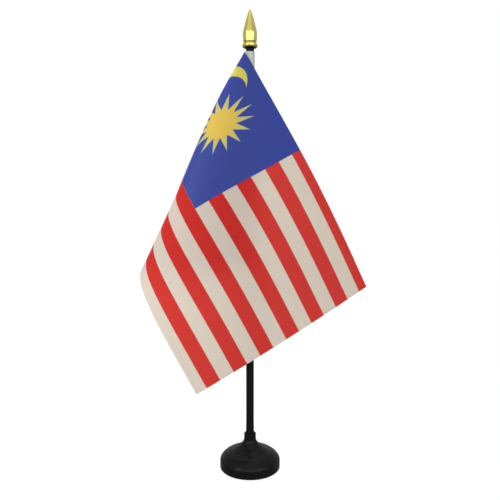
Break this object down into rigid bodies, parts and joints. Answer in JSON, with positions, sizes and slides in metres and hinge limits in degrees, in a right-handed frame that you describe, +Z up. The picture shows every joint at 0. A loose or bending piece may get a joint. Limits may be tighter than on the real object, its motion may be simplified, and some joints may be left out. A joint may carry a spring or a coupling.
{
  "type": "desk flag stand",
  "caption": "Small table flag: a weighted round base, a slim pole with a spear finial, and a sleeved cloth flag that rolls over once and hangs across the pole.",
  "frame": {"origin": "centre of the base's resting face, on the pole's axis", "axes": "+Z up along the pole; the free corner of the flag points to +X and the flag's front faces -Y"},
  "size_m": [0.1593, 0.0459, 0.3179],
  "materials": {
    "glossy_black_plastic": "glossy moulded",
    "plated_steel": "zinc plated",
    "dull_black_plastic": "dull moulded",
    "black_foam_rubber": "fine closed-cell foam",
    "pole_black_plastic": "semi-gloss moulded",
    "printed_polyester": "plain weave, printed red and white stripes with a blue canton",
    "white_polyester": "plain weave, unprinted",
    "white_thread": "spun thread",
    "gold_plating": "bright gold plating on moulded plastic"
  },
  "bodies": {
    "base": {"base_shell": "glossy_black_plastic", "ballast_weight": "plated_steel", "base_plate": "dull_black_plastic", "non_slip_pad": "black_foam_rubber"},
    "pole": {"pole": "pole_black_plastic"},
    "flag": {"flag_cloth": "printed_polyester", "flag_sleeve": "white_polyester", "sleeve_stitching": "white_thread"},
    "finial": {"spear_finial": "gold_plating"}
  },
  "joints": [
    {"name": "pole_lift", "type": "slide", "parent": "base", "child": "pole", "axis": [0, 0, 1], "range_m": [0, 0.0224]},
    {"name": "flag_turn", "type": "hinge", "parent": "pole", "child": "flag", "pos_m": [0, 0, 0.29], "axis": [0, 0, 1], "continuous": true},
    {"name": "finial_pull", "type": "slide", "parent": "pole", "child": "finial", "axis": [0, 0, 1], "range_m": [0, 0.0072]}
  ]
}
